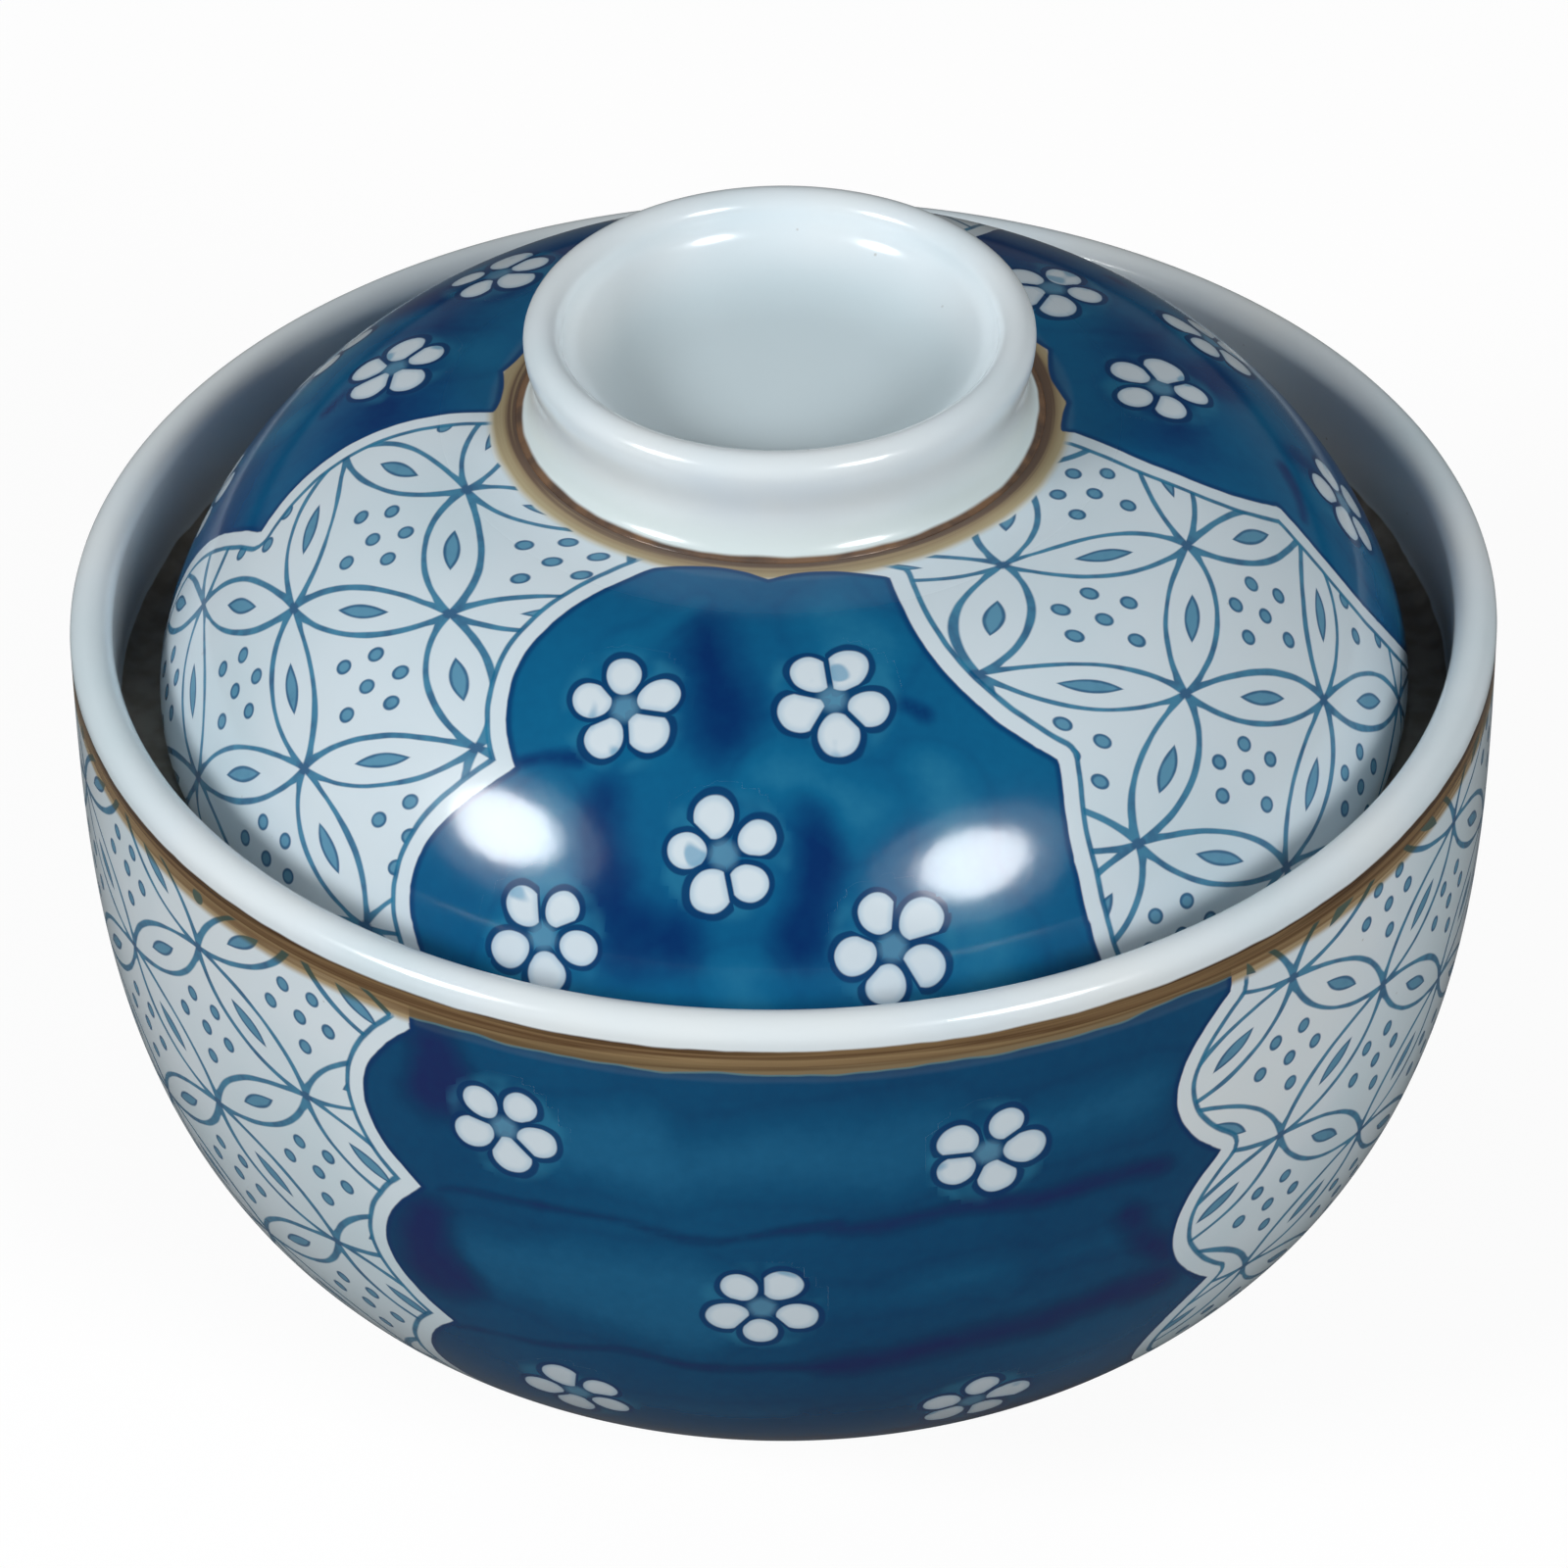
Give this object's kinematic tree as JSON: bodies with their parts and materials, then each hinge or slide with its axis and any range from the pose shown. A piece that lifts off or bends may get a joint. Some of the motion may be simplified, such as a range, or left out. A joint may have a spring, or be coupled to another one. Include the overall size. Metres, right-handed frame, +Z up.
{
  "type": "chawanmushi cup with lid",
  "caption": "Deep round porcelain cup for steamed custard, standing on a foot ring, with a domed lid that drops inside the rim and lifts off by a hollow ring grip.",
  "frame": {"origin": "centre of the foot ring's standing face, on the surface that the cup stands on", "axes": "+Z up along the turning axis, through the middle of the cup, the lid and the grip; -Y towards the painted panel that faces the viewer"},
  "size_m": [0.1, 0.1, 0.0791],
  "materials": {
    "painted_glaze": "glossy glaze over blue underglaze painting",
    "white_glaze": "glossy bluish white glaze"
  },
  "bodies": {
    "cup": {"cup_body": "painted_glaze", "foot_ring": "white_glaze"},
    "lid": {"lid_dome": "painted_glaze", "ring_grip": "white_glaze"}
  },
  "joints": [
    {"name": "lid_lift", "type": "slide", "parent": "cup", "child": "lid", "axis": [0, 0, 1], "range_m": [0, 0.08]}
  ]
}
